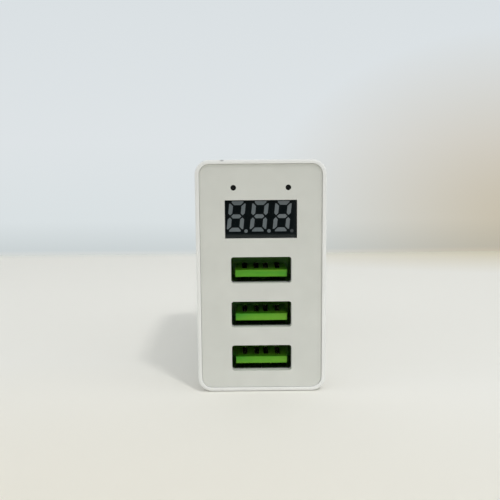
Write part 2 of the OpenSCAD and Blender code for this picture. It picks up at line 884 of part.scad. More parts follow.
// Legs of the power parts, through the board
lead_points = [
    for (p = concat(input_cap_at, output_cap_at), s = [-1, 1]) p + [s * cap_lead, 0],
    for (s = [-1, 1], t = [-1, 1]) bridge_at + [s * bridge_pins[0], t * bridge_pins[1]],
    for (s = [-1, 1]) resistor_at + [0, s * (resistor_l / 2 - axial_inset)],
    for (s = [-1, 1]) diode_at + [0, s * (diode_l / 2 - axial_inset)],
    for (s = [-1, 1], k = [-1.5:1:1.5]) controller_at + [s * chip_pins[0], k * chip_pins[1]],
    for (s = [-1, 1], k = [-0.5, 0.5]) opto_at + [s * chip_pins[0], k * chip_pins[1]],
    for (s = [-1, 1]) choke_at + [s * choke_lead, 0],
    for (s = [-1, 1]) disc_at + [s * disc_lead, 0],
    for (s = [-1, 1], k = [-1.5:1:1.5])
        transformer_at + [s * transformer_pins[0], k * transformer_pins[1]]
];

module lead_solids() {
    for (p = lead_points)
        translate([0, p[0], p[1]]) rod_x(leg_r, lead_end_x, power_face_x - lead_end_x);
}

module component_leads() {
    color([0.8, 0.8, 0.78]) lead_solids();
}

case();
plug_cover();
front_panel();
pin_retainer();
live_pin();
neutral_pin();
live_pin_sleeve();
neutral_pin_sleeve();
live_lead();
neutral_lead();
display_housing();
display_segments();
display_pins();
indicator_left();
indicator_right();
indicator_leads();
usb_shell_1();
usb_shell_2();
usb_shell_3();
usb_tongue_1();
usb_tongue_2();
usb_tongue_3();
usb_contacts_1();
usb_contacts_2();
usb_contacts_3();
front_board();
power_board();
display_driver();
chip_resistors();
board_header();
header_pins();
transformer_core();
transformer_bobbin();
transformer_winding();
input_capacitor_1();
input_capacitor_2();
output_capacitor_1();
output_capacitor_2();
bridge_rectifier();
fusible_resistor();
controller_chip();
optocoupler();
output_diode();
choke_core();
choke_winding();
safety_capacitor();
component_leads();
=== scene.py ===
# %% [markdown]
# # A wall charger with three USB ports, dressed for a studio picture
#
# The charger was built as solids first: a case with a raised rim, a front panel, a
# display, three receptacles, and the boards and power parts inside. This lesson sets up
# the camera, the table and the light, models the solids again whose looks ask for finer
# forms, and gives every solid its finish.
#
# Everything is in metres in the solids' own frame: X is the charger's width, -Y is the
# side with the ports, +Y is the side with the mains pins, and the table is at Z = 0.

import json
import math

import bmesh
import bpy
from mathutils import Matrix, Vector


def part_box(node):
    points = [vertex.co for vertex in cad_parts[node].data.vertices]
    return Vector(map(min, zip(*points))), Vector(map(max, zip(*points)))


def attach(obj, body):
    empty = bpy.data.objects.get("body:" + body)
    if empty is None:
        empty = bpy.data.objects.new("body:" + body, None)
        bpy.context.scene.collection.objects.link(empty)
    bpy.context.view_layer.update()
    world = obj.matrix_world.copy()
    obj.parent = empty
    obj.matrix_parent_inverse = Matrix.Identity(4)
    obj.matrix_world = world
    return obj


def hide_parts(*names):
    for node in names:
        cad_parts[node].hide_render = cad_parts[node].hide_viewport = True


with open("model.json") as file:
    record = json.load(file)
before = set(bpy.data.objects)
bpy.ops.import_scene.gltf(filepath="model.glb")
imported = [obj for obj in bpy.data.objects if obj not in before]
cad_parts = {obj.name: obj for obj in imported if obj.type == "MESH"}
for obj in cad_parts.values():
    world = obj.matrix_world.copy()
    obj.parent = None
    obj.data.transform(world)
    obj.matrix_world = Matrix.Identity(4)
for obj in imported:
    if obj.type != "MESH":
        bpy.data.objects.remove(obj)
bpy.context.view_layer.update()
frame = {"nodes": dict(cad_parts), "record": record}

MM = 0.001
slot_of = {part["node"]: part["material_slot"] for part in frame["record"]["subparts"]}
print("nodes:", len(frame["nodes"]), "finishes:", len(set(slot_of.values())))

# %% [markdown]
# ## The camera
#
# The picture was taken from about 13 cm in front of the panel, nearly as high as the
# charger's top and tilted down by seven degrees. Lines that are parallel on the charger
# run together towards the table, so the camera is a near one in perspective.
# Its place and angles were solved from the outlines of the rim, the ports and the
# display. A camera can also be aimed with a Track To constraint, but a matrix built from
# the three angles keeps the small roll of a hand-held picture.

# %% Set the camera
IMAGE_PX = 500
FOCAL_PX = 617.3
SENSOR_MM = 36
CAMERA_AT = Vector((-3.33, -168.05, 45.94)) * MM
PITCH, YAW, ROLL = 0.123, 0.008, -0.008
CLIP_START = 10 * MM

level_ahead = Vector((math.sin(YAW), math.cos(YAW), 0))
level_right = Vector((math.cos(YAW), -math.sin(YAW), 0))
forward = level_ahead * math.cos(PITCH) - Vector((0, 0, math.sin(PITCH)))
level_up = level_right.cross(forward)
right = level_right * math.cos(ROLL) + level_up * math.sin(ROLL)
up = level_up * math.cos(ROLL) - level_right * math.sin(ROLL)

camera_data = bpy.data.cameras.new("camera")
camera_data.sensor_width = SENSOR_MM
camera_data.lens = FOCAL_PX / IMAGE_PX * SENSOR_MM
camera_data.clip_start = CLIP_START
camera = bpy.data.objects.new("camera", camera_data)
bpy.context.collection.objects.link(camera)
turn = Matrix((right, up, -forward)).transposed().to_4x4()
camera.matrix_world = Matrix.Translation(CAMERA_AT) @ turn
bpy.context.scene.camera = camera
print("camera at", tuple(round(v, 4) for v in CAMERA_AT), "lens", round(camera_data.lens, 2), "mm")

# %% [markdown]
# ## Table and wall
#
# The charger stands on a pale warm table whose far edge meets a cool white wall. A plane
# is enough for each, as neither shows any form of its own. The table is lit like the
# charger, so it takes the shadow. The wall shows a plain tone to the camera and to
# mirror-like surfaces, and is an ordinary white surface for all other light: a wall lit
# only by lamps would be darker than it looks in the picture.

# %% Helpers for materials
def new_material(name, colour, roughness, metallic=0.0, specular=0.5):
    """A Principled material whose plain values sit on the shader's own sockets."""
    material = bpy.data.materials.new(name)
    material.use_nodes = True
    shader = material.node_tree.nodes["Principled BSDF"]
    shader.inputs["Base Color"].default_value = (*colour, 1)
    shader.inputs["Roughness"].default_value = roughness
    shader.inputs["Metallic"].default_value = metallic
    shader.inputs["Specular IOR Level"].default_value = specular
    material.diffuse_color = (*colour, 1)
    return material


def add_node(owner, kind, **inputs):
    """Adds a node to a material or a world, and sets the inputs given by name."""
    node = owner.node_tree.nodes.new(kind)
    for name, value in inputs.items():
        node.inputs[name.replace("_", " ")].default_value = value
    return node


def join(owner, out_socket, in_socket):
    owner.node_tree.links.new(out_socket, in_socket)


def shader_of(material):
    return material.node_tree.nodes["Principled BSDF"]


def object_place(material):
    """The socket that gives a point's place in the solid's own coordinates."""
    return add_node(material, "ShaderNodeTexCoord").outputs["Object"]


print("node helpers ready")

# %% Helper for patches of colour
def add_patch(material, colour_out, centre, reach, tone):
    """Multiplies a colour by a tone that is full at a centre and gone at the reach."""
    scale = tuple(1 / r for r in reach)
    shift = tuple(-c * s for c, s in zip(centre, scale))
    mapping = add_node(material, "ShaderNodeMapping", Location=shift, Scale=scale)
    spot = add_node(material, "ShaderNodeTexGradient")
    spot.gradient_type = "SPHERICAL"
    tinted = add_node(material, "ShaderNodeMixRGB", Color2=(*tone, 1))
    tinted.blend_type = "MULTIPLY"
    join(material, object_place(material), mapping.inputs["Vector"])
    join(material, mapping.outputs[0], spot.inputs["Vector"])
    join(material, spot.outputs["Fac"], tinted.inputs["Fac"])
    join(material, colour_out, tinted.inputs["Color1"])
    return tinted.outputs[0]


print("patch helper ready")

# %% Table
TABLE_EDGE_Y, TABLE_Z = 188.5 * MM, -0.02 * MM
STAGE_HALF = 3.0
TABLE_TONE = (0.875, 0.865, 0.825)

# Each patch has a centre and a reach in metres, and a tone. The far edge is out of
# focus in the picture, so its last centimetre fades to the wall.
TABLE_PATCHES = {
    # painted warm light on the table in front of the charger
    "painted warm light near": ((-0.06, -0.15, 0), (0.20, 0.13, 1), (0.94, 0.89, 0.78)),
    # painted warm shade on the table along the wall's foot, to the right
    "painted warm shade far": ((0.20, 0.20, 0), (0.22, 0.10, 1), (0.79, 0.71, 0.52)),
    "soft edge": ((0, TABLE_EDGE_Y, 0), (10, 0.014, 1), (0.91, 0.94, 0.95)),
}


def add_plane(name, corners):
    """A single staged face with the given corners."""
    mesh = bpy.data.meshes.new(name)
    mesh.from_pydata(corners, [], [tuple(range(len(corners)))])
    plane = bpy.data.objects.new(name, mesh)
    bpy.context.collection.objects.link(plane)
    return plane


table = add_plane("table", [
    (-STAGE_HALF, -STAGE_HALF, TABLE_Z), (STAGE_HALF, -STAGE_HALF, TABLE_Z),
    (STAGE_HALF, TABLE_EDGE_Y, TABLE_Z), (-STAGE_HALF, TABLE_EDGE_Y, TABLE_Z),
])
table_white = new_material("table_white", TABLE_TONE, roughness=0.75, specular=0.2)
table.data.materials.append(table_white)

plain_tone = add_node(table_white, "ShaderNodeRGB").outputs[0]
plain_tone.default_value = (*TABLE_TONE, 1)
tone_now = plain_tone
for centre, reach, tone in TABLE_PATCHES.values():
    tone_now = add_patch(table_white, tone_now, centre, reach, tone)
join(table_white, tone_now, shader_of(table_white).inputs["Base Color"])
print("table reaches to y =", TABLE_EDGE_Y, "with patches:", ", ".join(TABLE_PATCHES))

# %% The table from below
# Seen from below, the table is clear, so that it never hides the charger's underside.
# Light that has already come up through it finds it clear from above too, or that
# underside would be black. All other light is stopped by it, so in a picture from above
# the line where the charger meets the table stays dark.
HALF_A_STEP = 0.5


def add_math(owner, operation, first, second):
    """Adds a Math node on two sockets or plain numbers, and returns its output."""
    node = add_node(owner, "ShaderNodeMath")
    node.operation = operation
    for place, value in enumerate((first, second)):
        if isinstance(value, (int, float)):
            node.inputs[place].default_value = value
        else:
            join(owner, value, node.inputs[place])
    return node.outputs[0]


def set_surface(owner, output_name, share, usual, other):
    """Ends the nodes in a mix of two shaders, with the given share of the other."""
    mix = add_node(owner, "ShaderNodeMixShader")
    for place, socket in enumerate((share, usual, other)):
        join(owner, socket, mix.inputs[place])
    join(owner, mix.outputs[0], owner.node_tree.nodes[output_name].inputs["Surface"])


side_seen = add_node(table_white, "ShaderNodeNewGeometry")
ray = add_node(table_white, "ShaderNodeLightPath")
came_through = add_math(table_white, "GREATER_THAN", ray.outputs["Transparent Depth"],
                        HALF_A_STEP)
is_clear = add_math(table_white, "MAXIMUM", came_through, side_seen.outputs["Backfacing"])
clear = add_node(table_white, "ShaderNodeBsdfTransparent")
set_surface(table_white, "Material Output", is_clear, shader_of(table_white).outputs[0],
            clear.outputs[0])
print("table is clear from below")

# %% Wall
# The tones run up from the wall's foot. The darker band just above the foot is painted
# shade where the wall meets the table, and the foot is browner towards the right, which
# is painted warm shade.
WALL_TONES = [
    (0.0, (0.67, 0.695, 0.68)), (0.016, (0.60, 0.65, 0.66)), (0.12, (0.70, 0.75, 0.765)),
    (0.4, (0.73, 0.77, 0.79)), (1.0, (0.70, 0.745, 0.77)),
]
WALL_TONE_TOP = 0.16
WALL_WHITE = (0.78, 0.79, 0.80)
# painted warm shade at the right of the wall's foot
PAINTED_WARM_SHADE_PATCH = ((0.165, 0, 0.02), (0.165, 1, 0.11), (0.77, 0.62, 0.43))


def add_ramp(material, stops):
    """A colour ramp with the given (place, colour) stops."""
    ramp = add_node(material, "ShaderNodeValToRGB")
    elements = ramp.color_ramp.elements
    elements[0].position, elements[1].position = stops[0][0], stops[-1][0]
    elements[0].color, elements[1].color = (*stops[0][1], 1), (*stops[-1][1], 1)
    for place, colour in stops[1:-1]:
        elements.new(place).color = (*colour, 1)
    return ramp


wall = add_plane("wall", [
    (-STAGE_HALF, TABLE_EDGE_Y, 0), (STAGE_HALF, TABLE_EDGE_Y, 0),
    (STAGE_HALF, TABLE_EDGE_Y, STAGE_HALF), (-STAGE_HALF, TABLE_EDGE_Y, STAGE_HALF),
])
wall_white = new_material("wall_white", WALL_WHITE, roughness=0.9, specular=0.1)
wall.data.materials.append(wall_white)

split = add_node(wall_white, "ShaderNodeSeparateXYZ")
height = add_node(wall_white, "ShaderNodeMapRange", From_Max=WALL_TONE_TOP)
tones = add_ramp(wall_white, WALL_TONES)
join(wall_white, object_place(wall_white), split.inputs[0])
join(wall_white, split.outputs["Z"], height.inputs["Value"])
join(wall_white, height.outputs[0], tones.inputs[0])
print("wall stands at y =", TABLE_EDGE_Y)

# %% The wall's two looks
def seen_directly(owner):
    """1 for the camera and for mirror-like and clear surfaces, 0 for all other light."""
    path = add_node(owner, "ShaderNodeLightPath")
    mirrored = add_math(owner, "MAXIMUM", path.outputs["Is Camera Ray"],
                        path.outputs["Is Glossy Ray"])
    return add_math(owner, "MAXIMUM", mirrored, path.outputs["Is Transmission Ray"])


shown = add_node(wall_white, "ShaderNodeEmission", Strength=1.0)
join(wall_white, add_patch(wall_white, tones.outputs[0], *PAINTED_WARM_SHADE_PATCH), shown.inputs["Color"])
set_surface(wall_white, "Material Output", seen_directly(wall_white),
            shader_of(wall_white).outputs[0], shown.outputs[0])
print("wall shows the camera", len(WALL_TONES), "tones")

# %% [markdown]
# ## Light
#
# The shadow on the table falls to the left and a little backwards, with a soft edge, and
# it is only a little darker than the table. So the room gives most of the light, and one
# lamp in front, on the right and above gives the rest. A lamp's direction can be read
# from a shadow: the line from the shadow's far corner through the charger's top corner
# points at the lamp.
#
# The room is an even pale dome that is darker in front, on the camera's side, which keeps
# the display and the ports as dark as they are in the picture. The panel grows a little
# brighter towards its foot, which no far lamp can do. A small, weak lamp close in front
# and just above the table does it, because its light fades over the panel's height.

# %% Room light
ROOM, ROOM_IN_FRONT = 1.24, 0.10
FRONT_STARTS = 0.15
ROOM_COLOUR = (0.98, 1.0, 1.0)
ROOM_SHOWN = (0.70, 0.745, 0.77)

world = bpy.data.worlds.new("room")
bpy.context.scene.world = world
world.use_nodes = True
background = world.node_tree.nodes["Background"]
background.inputs["Color"].default_value = (*ROOM_COLOUR, 1)
direction = add_node(world, "ShaderNodeTexCoord")
split = add_node(world, "ShaderNodeSeparateXYZ")
dome = add_node(world, "ShaderNodeMapRange", From_Min=-1, From_Max=-FRONT_STARTS,
                To_Min=ROOM_IN_FRONT, To_Max=ROOM)
join(world, direction.outputs["Generated"], split.inputs[0])
join(world, split.outputs["Y"], dome.inputs["Value"])
join(world, dome.outputs[0], background.inputs["Strength"])

# The camera, and metal or glass that mirrors the room, see it as pale as the wall,
# whatever light it gives.
shown = add_node(world, "ShaderNodeBackground", Color=(*ROOM_SHOWN, 1))
set_surface(world, "World Output", seen_directly(world), background.outputs[0],
            shown.outputs[0])
print("room light", ROOM, "and in front", ROOM_IN_FRONT)

# %% Key light
KEY_DIRECTION = Vector((15.9, -26.3, 48.8)).normalized()
KEY_DISTANCE, KEY_SIZE, KEY_WATTS = 1.2, 0.14, 2.9
KEY_COLOUR = (1.0, 0.985, 0.95)


def add_lamp(name, place, aim, watts, colour):
    """An area lamp that shines along the aim, and that the camera doesn't see."""
    lamp_data = bpy.data.lights.new(name, "AREA")
    lamp_data.energy, lamp_data.color = watts, colour
    lamp = bpy.data.objects.new(name, lamp_data)
    bpy.context.collection.objects.link(lamp)
    lamp.location = place
    lamp.rotation_euler = (-aim).to_track_quat("Z", "Y").to_euler()
    lamp.visible_camera = False
    print(name, "at", tuple(round(v, 3) for v in lamp.location))
    return lamp


key = add_lamp("key_light", KEY_DIRECTION * KEY_DISTANCE, -KEY_DIRECTION, KEY_WATTS, KEY_COLOUR)
key.data.shape, key.data.size = "DISK", KEY_SIZE
bpy.context.scene.view_settings.view_transform = "Standard"

# %% Low fill light
FILL_AT, FILL_AIM = Vector((24, -82, 4)) * MM, Vector((0, 1, 0.12)).normalized()
FILL_W, FILL_H, FILL_WATTS = 120 * MM, 6 * MM, 0.005
FILL_COLOUR = (1.0, 0.99, 0.96)

fill = add_lamp("fill_light", FILL_AT, FILL_AIM, FILL_WATTS, FILL_COLOUR)
fill.data.shape, fill.data.size, fill.data.size_y = "RECTANGLE", FILL_W, FILL_H
fill.visible_glossy = False

# It lights the charger alone, or it would leave a bright pool on the table.
not_lit = bpy.data.collections.new("not_lit_by_fill")
not_lit.objects.link(table)
not_lit.collection_objects[0].light_linking.link_state = "EXCLUDE"
fill.light_linking.receiver_collection = not_lit

# %% [markdown]
# ## Modelling by hand
#
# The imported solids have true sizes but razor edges. On the real charger every moulded
# edge has a small radius, and it is that radius which catches the light. The pieces
# which can be seen from close by are modelled again here: a primitive is added at its
# place, shaped in edit mode, cut with the Boolean modifier and finished with a Bevel.
# The helpers below do the small steps that every piece needs.

# %% Helpers for primitives
def deselect_all():
    """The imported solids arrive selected, and an operator acts on all that is."""
    bpy.ops.object.select_all(action="DESELECT")


def finish_start(name):
    """Names the new primitive and puts its place into its mesh."""
    piece = bpy.context.active_object
    piece.name = piece.data.name = name
    bpy.ops.object.transform_apply(location=True, rotation=True, scale=True)
    return piece


def add_block(name, low, high):
    """A block between two corners, in metres."""
    deselect_all()
    middle = [(a + b) / 2 for a, b in zip(low, high)]
    size = [b - a for a, b in zip(low, high)]
    bpy.ops.mesh.primitive_cube_add(size=1, location=middle, scale=size)
    return finish_start(name)


def add_rod(name, x, z, radius, y_from, y_to, sides=48):
    """A round bar along Y."""
    deselect_all()
    bpy.ops.mesh.primitive_cylinder_add(
        vertices=sides, radius=radius, depth=y_to - y_from,
        location=(x, (y_from + y_to) / 2, z), rotation=(math.pi / 2, 0, 0))
    return finish_start(name)


print("primitive helpers ready")

# %% Helpers for edit mode
NEARLY_ALL = 0.999


def use_only(piece):
    deselect_all()
    piece.select_set(True)
    bpy.context.view_layer.objects.active = piece


def edit_selected(piece, kind, test):
    """Enters edit mode with only the edges or faces selected that pass the test."""
    use_only(piece)
    bpy.ops.object.mode_set(mode="EDIT")
    bpy.ops.mesh.select_mode(type=kind)
    bpy.ops.mesh.select_all(action="DESELECT")
    mesh = bmesh.from_edit_mesh(piece.data)
    for part in (mesh.edges if kind == "EDGE" else mesh.faces):
        part.select = test(part)
    mesh.select_flush_mode()
    bmesh.update_edit_mesh(piece.data)


def leave_edit():
    bpy.ops.object.mode_set(mode="OBJECT")


def middle_of(edge):
    return (edge.verts[0].co + edge.verts[1].co) / 2


def along(edge, axis):
    """True for an edge that runs along the axis 0, 1 or 2."""
    run = edge.verts[1].co - edge.verts[0].co
    return abs(run[axis]) > NEARLY_ALL * run.length


def round_corners(piece, radius, axis=1, segments=10):
    """Rounds the edges that run along an axis."""
    edit_selected(piece, "EDGE", lambda edge: along(edge, axis))
    bpy.ops.mesh.bevel(offset=radius, segments=segments, affect="EDGES")
    leave_edit()


print("edit helpers ready")

# %% Helpers for cuts and soft edges
def apply_boolean(piece, tool, operation):
    """Cuts the tool out of the piece, or adds it, and removes the tool."""
    use_only(piece)
    modifier = piece.modifiers.new("shape", "BOOLEAN")
    modifier.operation, modifier.solver, modifier.object = operation, "EXACT", tool
    bpy.ops.object.modifier_apply(modifier="shape")
    bpy.data.objects.remove(tool)


def soften(piece, radius, segments=3, sharper_than=35):
    """Rounds each edge that turns by more than so many degrees, and keeps faces flat."""
    use_only(piece)
    bevel = piece.modifiers.new("edge", "BEVEL")
    bevel.width, bevel.segments, bevel.limit_method = radius, segments, "ANGLE"
    bevel.angle_limit = math.radians(sharper_than)
    bevel.use_clamp_overlap = True
    bpy.ops.object.modifier_apply(modifier="edge")
    bpy.ops.object.shade_smooth()
    piece.modifiers.new("normals", "WEIGHTED_NORMAL")
    bpy.ops.object.modifier_apply(modifier="normals")


print("cut and edge helpers ready")

# %% Helpers for a finished piece
def describe(piece):
    """Counts the faces, and the edges that don't join exactly two of them."""
    mesh = bmesh.new()
    mesh.from_mesh(piece.data)
    loose = sum(1 for edge in mesh.edges if len(edge.link_faces) != 2)
    count = len(mesh.faces)
    mesh.free()
    print(piece.name, "has", count, "faces and", loose, "open edges")


def stand_for(piece, node_name):
    """The piece takes the place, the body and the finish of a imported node."""
    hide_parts(node_name)
    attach(piece, "root")
    dressed_by_hand[piece] = slot_of[node_name]


dressed_by_hand = {}
print("helpers for a finished piece ready")

# %% [markdown]
# ## Front panel
#
# The panel is one moulding: a flat plate with round corners, a window for the display,
# three openings for the receptacles, and two small holes in front of the indicators.
# It could be drawn as a curve with holes and extruded, but a block with openings cut
# through it follows the way the mould itself is cut: cores stand where the openings
# will be. The edges are rounded at the end, all at once.

# %% Panel plate
PORT_W, PORT_H, PORT_R = 12.6 * MM, 5.5 * MM, 0.55 * MM
PORT_Z = [26.0 * MM, 16.6 * MM, 7.2 * MM]
WINDOW_W, WINDOW_H, WINDOW_Z = 14.9 * MM, 7.9 * MM, 36.6 * MM
HOLE_R, HOLE_X, HOLE_Z = 0.575 * MM, 5.65 * MM, 43.1 * MM
PANEL_CORNER_R = 2.11 * MM
LED_SEAT_R, LED_SEAT_DEPTH = 0.95 * MM, 0.4 * MM

panel_low, panel_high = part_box("front_panel")
panel_y, panel_back_y = panel_low[1], panel_high[1]
panel = add_block("panel_plate", panel_low, panel_high)
round_corners(panel, PANEL_CORNER_R, segments=12)
print("plate", [round((b - a) / MM, 2) for a, b in zip(panel_low, panel_high)], "mm")

# %% Panel openings
CUT_PAST = 1 * MM
cut_from, cut_to = panel_y - CUT_PAST, panel_back_y + CUT_PAST

for z in PORT_Z:
    core = add_block("port_core", (-PORT_W / 2, cut_from, z - PORT_H / 2),
                     (PORT_W / 2, cut_to, z + PORT_H / 2))
    round_corners(core, PORT_R, segments=6)
    apply_boolean(panel, core, "DIFFERENCE")

window_core = add_block("window_core", (-WINDOW_W / 2, cut_from, WINDOW_Z - WINDOW_H / 2),
                        (WINDOW_W / 2, cut_to, WINDOW_Z + WINDOW_H / 2))
apply_boolean(panel, window_core, "DIFFERENCE")

for x in (-HOLE_X, HOLE_X):
    hole = add_rod("hole_core", x, HOLE_Z, HOLE_R, cut_from, cut_to, sides=32)
    apply_boolean(panel, hole, "DIFFERENCE")
    seat_from = panel_y + LED_SEAT_DEPTH
    seat = add_rod("seat_core", x, HOLE_Z, LED_SEAT_R, seat_from, cut_to, sides=32)
    apply_boolean(panel, seat, "DIFFERENCE")
print("openings cut, faces:", len(panel.data.polygons))

# %% Panel edges
PANEL_EDGE_R = 0.045 * MM
soften(panel, PANEL_EDGE_R)
stand_for(panel, "front_panel")
describe(panel)

# %% [markdown]
# ## Receptacle tongues
#
# In each port a green tongue carries the four contacts. It is one moulding with the
# block that closes the receptacle's back. Its front edge slopes at the top, so that a
# plug finds its way, and grooves hold the contacts' tips. The slope is cut off with a
# bisecting plane, because a plain bevel would take as much off the front as off the top.
# One tongue is modelled, and the other two are copies.

# %% Tongue and block
TONGUE_W, TONGUE_T, TONGUE_TOP = 10.9 * MM, 1.75 * MM, 0.02 * MM
SLOPE_D, SLOPE_H, FOOT = 0.9 * MM, 0.25 * MM, 0.2 * MM
BLOCK_D, BLOCK_W, BLOCK_H = 4.5 * MM, 12.5 * MM, 5.2 * MM
TONGUE_EDGE_R = 0.07 * MM
MERGE_WITHIN = 0.0001 * MM

tongue_low, tongue_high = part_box("usb_tongue_1")
tongue_y, block_back_y = tongue_low[1], tongue_high[1]
block_y = block_back_y - BLOCK_D
top_z = PORT_Z[0] + TONGUE_TOP

tongue = add_block("tongue", (-TONGUE_W / 2, tongue_y, top_z - TONGUE_T),
                   (TONGUE_W / 2, block_back_y - BLOCK_D / 2, top_z))
edit_selected(tongue, "FACE", lambda face: True)
bpy.ops.mesh.bisect(plane_co=(0, tongue_y, top_z - SLOPE_H), plane_no=(0, -SLOPE_H, SLOPE_D),
                    use_fill=True, clear_outer=True, threshold=MERGE_WITHIN)
leave_edit()

edit_selected(tongue, "EDGE", lambda edge: along(edge, 0)
              and middle_of(edge).y < tongue_y + FOOT
              and middle_of(edge).z < top_z - TONGUE_T + FOOT)
bpy.ops.mesh.bevel(offset=FOOT, segments=2, affect="EDGES")
leave_edit()

block = add_block("tongue_block", (-BLOCK_W / 2, block_y, PORT_Z[0] - BLOCK_H / 2),
                  (BLOCK_W / 2, block_back_y, PORT_Z[0] + BLOCK_H / 2))
round_corners(block, PORT_R, segments=4)
apply_boolean(tongue, block, "UNION")
describe(tongue)

# %% Grooves
CONTACT_X = (-3.5 * MM, -1.0 * MM, 1.0 * MM, 3.5 * MM)
CONTACT_W, CONTACT_T = 1.0 * MM, 0.25 * MM
GROOVE_STARTS, ABOVE_TOP = 1.0 * MM, 0.01 * MM

for x in CONTACT_X:
    groove = add_block(
        "groove_core", (x - CONTACT_W / 2, tongue_y + GROOVE_STARTS, top_z - CONTACT_T),
        (x + CONTACT_W / 2, block_back_y + CUT_PAST, top_z + ABOVE_TOP))
    apply_boolean(tongue, groove, "DIFFERENCE")
describe(tongue)
soften(tongue, TONGUE_EDGE_R, segments=2)
describe(tongue)

# %% Three tongues
def copy_at(piece, name, shift):
    """A copy with its own mesh, moved by the shift."""
    twin = bpy.data.objects.new(name, piece.data.copy())
    twin.data.name = name
    twin.data.transform(Matrix.Translation(shift))
    bpy.context.collection.objects.link(twin)
    return twin


tongue.name = tongue.data.name = "port_1_tongue"
stand_for(tongue, "usb_tongue_1")
for number in (2, 3):
    drop = Vector((0, 0, PORT_Z[number - 1] - PORT_Z[0]))
    stand_for(copy_at(tongue, f"port_{number}_tongue", drop), f"usb_tongue_{number}")
print("tongues:", len(PORT_Z))

# %% [markdown]
# ## Case
#
# The case is one deep moulding that is open at both ends. At the front it ends in a
# raised rim with a round outer edge, and behind the rim a step carries the panel. A
# Solidify modifier would give the wall, but not the steps, so the shape is made as a
# mould maker would describe it: a block with round corners, whose front face is inset,
# pushed in and inset again, and then bridged to an inset on the back face.

# %% Case block
CASE_CORNER_R, RIM_ROUND, RIM_W, WALL = 3 * MM, 0.5 * MM, 0.85 * MM, 1.6 * MM
SEAM_GROOVE, TINY = 0.25 * MM, 0.001 * MM


def edges_at(y):
    """Selects the edges that lie in the plane at y."""
    return lambda edge: all(abs(vertex.co.y - y) < TINY for vertex in edge.verts)


case_low, case_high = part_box("case")
front_y, seam_y = case_low[1], case_high[1]
case = add_block("case_shell", case_low, (case_high[0], seam_y - SEAM_GROOVE, case_high[2]))
round_corners(case, CASE_CORNER_R, segments=14)
edit_selected(case, "EDGE", edges_at(front_y))
bpy.ops.mesh.bevel(offset=RIM_ROUND, segments=5, affect="EDGES")
leave_edit()
describe(case)

# %% Steps and cavity
def faces_at(y, direction):
    """Selects the flat faces at y that look along +Y (1) or -Y (-1)."""
    return lambda face: (abs(face.calc_center_median().y - y) < TINY
                         and face.normal.y * direction > NEARLY_ALL)


def push(distance):
    """Extrudes the selected faces along Y."""
    bpy.ops.mesh.extrude_region_move(TRANSFORM_OT_translate={"value": (0, distance, 0)})


edit_selected(case, "FACE", faces_at(seam_y - SEAM_GROOVE, 1))
bpy.ops.mesh.inset(thickness=SEAM_GROOVE)
push(SEAM_GROOVE)
bpy.ops.mesh.inset(thickness=WALL - SEAM_GROOVE)
leave_edit()

edit_selected(case, "FACE", faces_at(front_y, -1))
bpy.ops.mesh.inset(thickness=RIM_W - RIM_ROUND)
push(panel_back_y - front_y)
bpy.ops.mesh.inset(thickness=WALL - RIM_W)
leave_edit()

# The two middles have many corners, and the flat strips round them have four.
at_back, at_step = faces_at(seam_y, 1), faces_at(panel_back_y, -1)
edit_selected(case, "FACE", lambda face: (at_back(face) or at_step(face))
              and len(face.verts) > 4)
bpy.ops.mesh.bridge_edge_loops()
bpy.ops.mesh.select_all(action="SELECT")
bpy.ops.mesh.normals_make_consistent(inside=False)
leave_edit()
describe(case)

# %% Rails for the power board
RAIL_T, RAIL_H = 1 * MM, 1.5 * MM
RAIL_X = (-10.4 * MM, -8.0 * MM)
RAIL_FROM, RAIL_TO = -25.35 * MM, -0.2 * MM
INTO_WALL = 0.3 * MM

for x in RAIL_X:
    for z in (WALL - INTO_WALL, case_high[2] - WALL - RAIL_H):
        rail = add_block("rail", (x, RAIL_FROM, z), (x + RAIL_T, RAIL_TO, z + RAIL_H + INTO_WALL))
        apply_boolean(case, rail, "UNION")

CASE_EDGE_R = 0.08 * MM
soften(case, CASE_EDGE_R)
stand_for(case, "case")
describe(case)

# %% [markdown]
# ## Mains pins and sleeves
#
# A pin is turned from one brass bar: a solder tail, a thin shank, a collar that holds
# it in the plug, a neck under the sleeve, and the bare end with a round tip. It could
# be spun from a profile, but growing a rod step by step shows how a turner thinks of
# it: each step is a new radius and a new length. The sleeve is a tube over the neck.
# Each is modelled once and copied for the second pin.

# %% Live pin
PIN_Z, PIN_PITCH = 33.9 * MM, 19 * MM
PIN_R, NECK_R, TAIL_R, COLLAR_R, SLEEVE_R = 2.0 * MM, 1.35 * MM, 1.0 * MM, 2.5 * MM, 1.8 * MM
TAIL_Y, SHANK_Y, COLLAR_Y = 9.5 * MM, 13.0 * MM, 14.5 * MM
SLEEVE_Y, BARE_Y, TIP_Y = 20.5 * MM, 32.5 * MM, 41.5 * MM
TIP_ROUND, PIN_EDGE_R = 0.97 * PIN_R, 0.12 * MM


def grow(piece, radius_now, radius_next, y_now, y_next):
    """Widens or narrows the rod's end face to a new radius and pulls it on."""
    edit_selected(piece, "FACE", faces_at(y_now, 1))
    push(0)
    scale = radius_next / radius_now
    bpy.ops.transform.resize(value=(scale, 1, scale), center_override=(0, y_now, PIN_Z))
    push(y_next - y_now)
    leave_edit()


pin = add_rod("live_pin_turned", 0, PIN_Z, TAIL_R, TAIL_Y, SHANK_Y)
grow(pin, TAIL_R, NECK_R, SHANK_Y, COLLAR_Y)
grow(pin, NECK_R, COLLAR_R, COLLAR_Y, SLEEVE_Y)
grow(pin, COLLAR_R, NECK_R, SLEEVE_Y, BARE_Y)
grow(pin, NECK_R, PIN_R, BARE_Y, TIP_Y)
edit_selected(pin, "EDGE", edges_at(TIP_Y))
bpy.ops.mesh.bevel(offset=TIP_ROUND, segments=10, affect="EDGES")
leave_edit()
soften(pin, PIN_EDGE_R, segments=2)
describe(pin)

